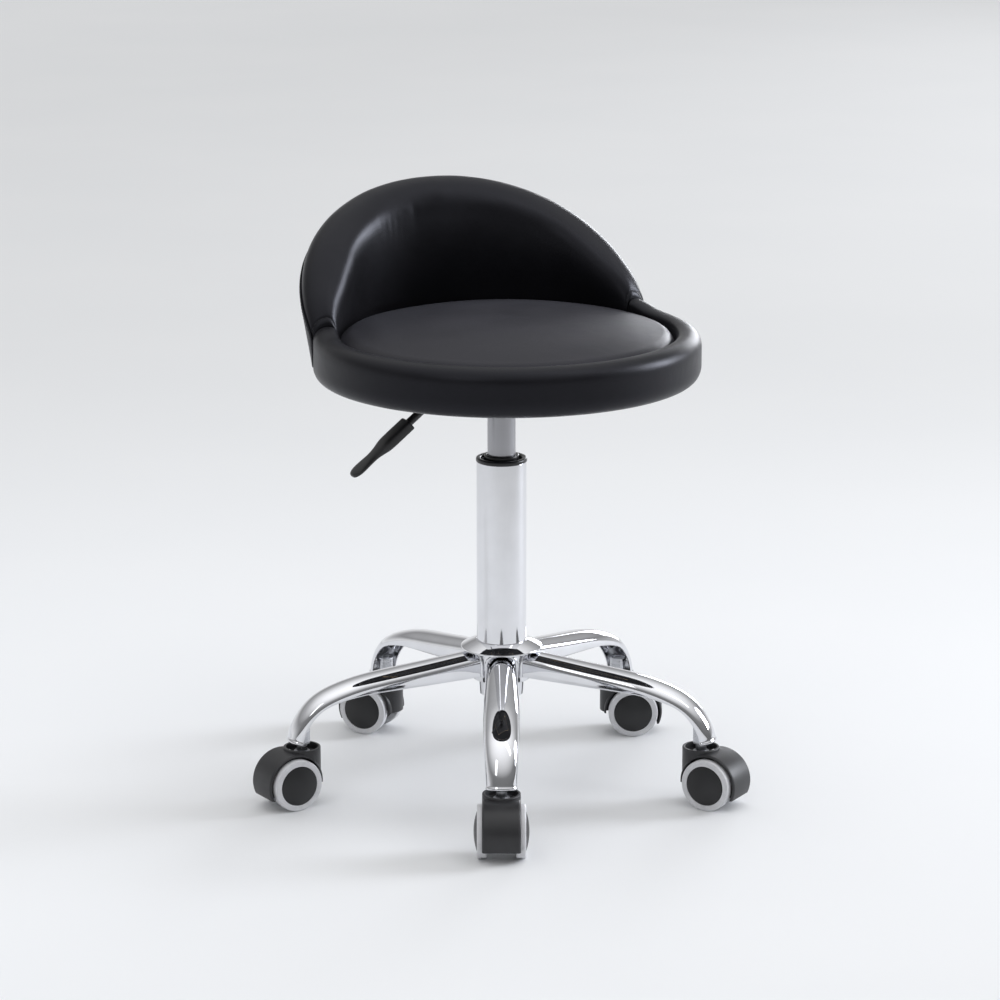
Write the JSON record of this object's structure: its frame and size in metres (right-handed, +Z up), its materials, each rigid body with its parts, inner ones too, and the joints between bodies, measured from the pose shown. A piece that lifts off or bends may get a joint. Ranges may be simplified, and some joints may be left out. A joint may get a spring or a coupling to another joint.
{
  "type": "rolling stylist stool",
  "caption": "Round padded swivel stool with a low curved back, a hand lever on a gas lift, and a chromed star base on twin-wheel casters.",
  "frame": {"origin": "on the floor, on the axis of the column", "axes": "+Z up; the seat faces -Y, so its low back is at +Y; +X is the sitter's left, and the lift lever points to -X, the sitter's right"},
  "size_m": [0.4885, 0.4911, 0.5966],
  "materials": {
    "chrome": "mirror-bright chrome plating",
    "bright_steel": "zinc-plated bright steel",
    "spring_steel": "dark spring steel",
    "cylinder_steel": "drawn grey steel, satin along its length",
    "black_steel": "black powder coat",
    "black_plastic": "moulded nylon, satin black",
    "hood_plastic": "moulded nylon, dark grey-black with a fine grain",
    "wheel_plastic": "moulded nylon, satin black",
    "white_tread": "soft white polyurethane tread",
    "plywood": "raw plywood",
    "black_leather": "black synthetic leather, soft sheen, fine grain, over foam",
    "dust_cloth": "thin black non-woven cloth",
    "black_rubber": "black rubber"
  },
  "bodies": {
    "base": {"hub_tube": "chrome", "hub_collar": "chrome", "leg_1": "chrome", "leg_2": "chrome", "leg_3": "chrome", "leg_4": "chrome", "leg_5": "chrome", "caster_sockets": "bright_steel", "caster_stems": "bright_steel", "grip_rings": "spring_steel", "column_tube": "chrome", "guide_bush": "black_plastic", "thrust_bearing": "bright_steel"},
    "rod": {"piston_rod": "bright_steel", "rubber_bumper": "black_rubber", "retaining_clip": "spring_steel"},
    "seat": {"gas_cylinder": "cylinder_steel", "seat_plate": "black_steel", "plate_bolts": "black_steel", "tee_nuts": "bright_steel", "seat_board": "plywood", "dust_cover": "dust_cloth", "seat_pad": "black_leather", "rim_bolster": "black_leather", "backrest": "black_leather", "back_panel": "black_leather", "lever_pin": "bright_steel"},
    "lever": {"lever_rod": "black_steel", "lever_handle": "black_plastic"},
    "valve": {"valve_pin": "bright_steel"},
    "caster_1": {"caster_1_hood": "hood_plastic", "caster_1_axle": "bright_steel"},
    "caster_1_left_roller": {"caster_1_left_wheel": "wheel_plastic", "caster_1_left_tyre": "white_tread"},
    "caster_1_right_roller": {"caster_1_right_wheel": "wheel_plastic", "caster_1_right_tyre": "white_tread"},
    "caster_2": {"caster_2_hood": "hood_plastic", "caster_2_axle": "bright_steel"},
    "caster_2_left_roller": {"caster_2_left_wheel": "wheel_plastic", "caster_2_left_tyre": "white_tread"},
    "caster_2_right_roller": {"caster_2_right_wheel": "wheel_plastic", "caster_2_right_tyre": "white_tread"},
    "caster_3": {"caster_3_hood": "hood_plastic", "caster_3_axle": "bright_steel"},
    "caster_3_left_roller": {"caster_3_left_wheel": "wheel_plastic", "caster_3_left_tyre": "white_tread"},
    "caster_3_right_roller": {"caster_3_right_wheel": "wheel_plastic", "caster_3_right_tyre": "white_tread"},
    "caster_4": {"caster_4_hood": "hood_plastic", "caster_4_axle": "bright_steel"},
    "caster_4_left_roller": {"caster_4_left_wheel": "wheel_plastic", "caster_4_left_tyre": "white_tread"},
    "caster_4_right_roller": {"caster_4_right_wheel": "wheel_plastic", "caster_4_right_tyre": "white_tread"},
    "caster_5": {"caster_5_hood": "hood_plastic", "caster_5_axle": "bright_steel"},
    "caster_5_left_roller": {"caster_5_left_wheel": "wheel_plastic", "caster_5_left_tyre": "white_tread"},
    "caster_5_right_roller": {"caster_5_right_wheel": "wheel_plastic", "caster_5_right_tyre": "white_tread"}
  },
  "joints": [
    {"name": "seat_swivel", "type": "hinge", "parent": "base", "child": "rod", "pos_m": [0, 0, 0.11], "axis": [0, 0, 1], "continuous": true},
    {"name": "seat_height", "type": "slide", "parent": "rod", "child": "seat", "axis": [0, 0, 1], "range_m": [-0.04, 0.075]},
    {"name": "lift_lever", "type": "hinge", "parent": "seat", "child": "lever", "pos_m": [-0.026, 0, 0.411], "axis": [0, 1, 0], "range_deg": [0, 7], "stiffness_Nm_per_rad": 3, "springref_deg": -8.59},
    {"name": "valve_press", "type": "slide", "parent": "seat", "child": "valve", "axis": [0, 0, -1], "range_m": [0, 0.0033], "stiffness_N_per_m": 300},
    {"name": "caster_1_swivel", "type": "hinge", "parent": "base", "child": "caster_1", "pos_m": [-0.08833, -0.18942, 0.056], "axis": [0, 0, 1], "continuous": true},
    {"name": "caster_1_left_roll", "type": "hinge", "parent": "caster_1", "child": "caster_1_left_roller", "pos_m": [-0.09534, -0.20446, 0.026], "axis": [0.9063, -0.4226, 0], "continuous": true},
    {"name": "caster_1_right_roll", "type": "hinge", "parent": "caster_1", "child": "caster_1_right_roller", "pos_m": [-0.09534, -0.20446, 0.026], "axis": [0.9063, -0.4226, 0], "continuous": true},
    {"name": "caster_2_swivel", "type": "hinge", "parent": "base", "child": "caster_2", "pos_m": [0.15285, -0.14254, 0.056], "axis": [0, 0, 1], "continuous": true},
    {"name": "caster_2_left_roll", "type": "hinge", "parent": "caster_2", "child": "caster_2_left_roller", "pos_m": [0.16214, -0.1563, 0.026], "axis": [0.829, 0.5592, 0], "continuous": true},
    {"name": "caster_2_right_roll", "type": "hinge", "parent": "caster_2", "child": "caster_2_right_roller", "pos_m": [0.16214, -0.1563, 0.026], "axis": [0.829, 0.5592, 0], "continuous": true},
    {"name": "caster_3_swivel", "type": "hinge", "parent": "base", "child": "caster_3", "pos_m": [0.1828, 0.10132, 0.056], "axis": [0, 0, 1], "continuous": true},
    {"name": "caster_3_left_roll", "type": "hinge", "parent": "caster_3", "child": "caster_3_left_roller", "pos_m": [0.19759, 0.09379, 0.026], "axis": [0.454, 0.891, 0], "continuous": true},
    {"name": "caster_3_right_roll", "type": "hinge", "parent": "caster_3", "child": "caster_3_right_roller", "pos_m": [0.19759, 0.09379, 0.026], "axis": [0.454, 0.891, 0], "continuous": true},
    {"name": "caster_4_swivel", "type": "hinge", "parent": "base", "child": "caster_4", "pos_m": [-0.03988, 0.20516, 0.056], "axis": [0, 0, 1], "continuous": true},
    {"name": "caster_4_left_roll", "type": "hinge", "parent": "caster_4", "child": "caster_4_left_roller", "pos_m": [-0.05077, 0.21769, 0.026], "axis": [-0.7547, -0.6561, 0], "continuous": true},
    {"name": "caster_4_right_roll", "type": "hinge", "parent": "caster_4", "child": "caster_4_right_roller", "pos_m": [-0.05077, 0.21769, 0.026], "axis": [-0.7547, -0.6561, 0], "continuous": true},
    {"name": "caster_5_swivel", "type": "hinge", "parent": "base", "child": "caster_5", "pos_m": [-0.20744, 0.02547, 0.056], "axis": [0, 0, 1], "continuous": true},
    {"name": "caster_5_left_roll", "type": "hinge", "parent": "caster_5", "child": "caster_5_left_roller", "pos_m": [-0.22388, 0.02316, 0.026], "axis": [0.1392, -0.9903, 0], "continuous": true},
    {"name": "caster_5_right_roll", "type": "hinge", "parent": "caster_5", "child": "caster_5_right_roller", "pos_m": [-0.22388, 0.02316, 0.026], "axis": [0.1392, -0.9903, 0], "continuous": true}
  ],
  "couplings": [
    {"joint": "valve_press", "follows": "lift_lever", "m_per_rad": 0.026}
  ]
}
